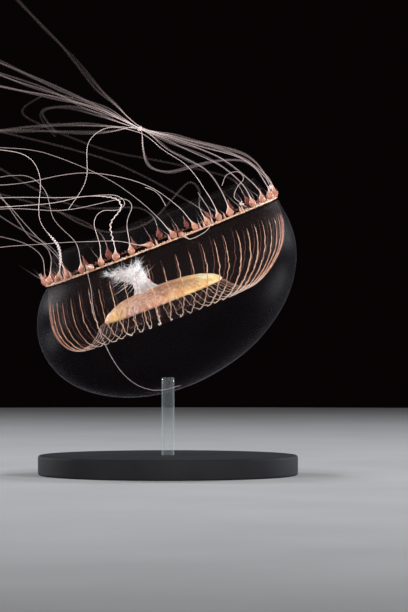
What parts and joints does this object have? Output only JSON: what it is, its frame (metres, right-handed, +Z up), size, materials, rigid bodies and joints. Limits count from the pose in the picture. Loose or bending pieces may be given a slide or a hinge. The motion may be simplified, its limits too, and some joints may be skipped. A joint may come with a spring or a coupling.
{
  "type": "jellyfish",
  "caption": "Crystal jelly with a clear domed bell tipped mouth up, radial canals, frilled lips and fine tentacles streaming to one side, on a disc stand with a clear rod.",
  "frame": {"origin": "centre of the underside of the stand's base", "axes": "+Z up; +X towards the raised side of the bell's margin, to the right as seen from the front; -Y towards the front; the tentacles stream towards -X"},
  "size_m": [0.1541, 0.1182, 0.1922],
  "materials": {
    "jelly": "clear, wet",
    "veil": "thin translucent membrane",
    "margin": "soft, moist, salmon",
    "stomach": "soft, granular, tan with a yellow rim",
    "lips": "soft white frills",
    "tentacle": "soft, moist, whitish",
    "stand_dark": "satin black acrylic",
    "stand_clear": "polished clear acrylic"
  },
  "bodies": {
    "root": {"bell_skirt": "jelly", "bell_dome": "jelly", "bell_lens": "jelly", "stomach": "stomach", "oral_lips": "lips", "velum": "veil", "margin": "margin", "tentacle_01": "tentacle", "tentacle_02_root": "tentacle", "tentacle_02_tip": "tentacle", "tentacle_03_root": "tentacle", "tentacle_03_tip": "tentacle", "tentacle_04_root": "tentacle", "tentacle_04_tip": "tentacle", "tentacle_05_root": "tentacle", "tentacle_05_tip": "tentacle", "tentacle_06_root": "tentacle", "tentacle_06_tip": "tentacle", "tentacle_07_root": "tentacle", "tentacle_07_tip": "tentacle", "tentacle_08_root": "tentacle", "tentacle_08_tip": "tentacle", "tentacle_09_root": "tentacle", "tentacle_09_tip": "tentacle", "tentacle_10_root": "tentacle", "tentacle_10_tip": "tentacle", "tentacle_11_root": "tentacle", "tentacle_11_tip": "tentacle", "tentacle_12": "tentacle", "tentacle_13_root": "tentacle", "tentacle_13_tip": "tentacle", "tentacle_14_root": "tentacle", "tentacle_14_tip": "tentacle", "tentacle_15_root": "tentacle", "tentacle_15_tip": "tentacle", "tentacle_16_root": "tentacle", "tentacle_16_tip": "tentacle", "tentacle_17_root": "tentacle", "tentacle_17_tip": "tentacle", "tentacle_18_root": "tentacle", "tentacle_18_tip": "tentacle", "tentacle_19_root": "tentacle", "tentacle_19_tip": "tentacle", "tentacle_20_root": "tentacle", "tentacle_20_tip": "tentacle", "tentacle_21_root": "tentacle", "tentacle_21_tip": "tentacle", "tentacle_22_root": "tentacle", "tentacle_22_tip": "tentacle", "tentacle_23_root": "tentacle", "tentacle_23_tip": "tentacle", "tentacle_24_root": "tentacle", "tentacle_24_tip": "tentacle", "tentacle_25_root": "tentacle", "tentacle_25_tip": "tentacle", "tentacle_26_root": "tentacle", "tentacle_26_tip": "tentacle", "tentacle_27": "tentacle", "stand_base": "stand_dark", "stand_rod": "stand_clear"}
  },
  "joints": []
}
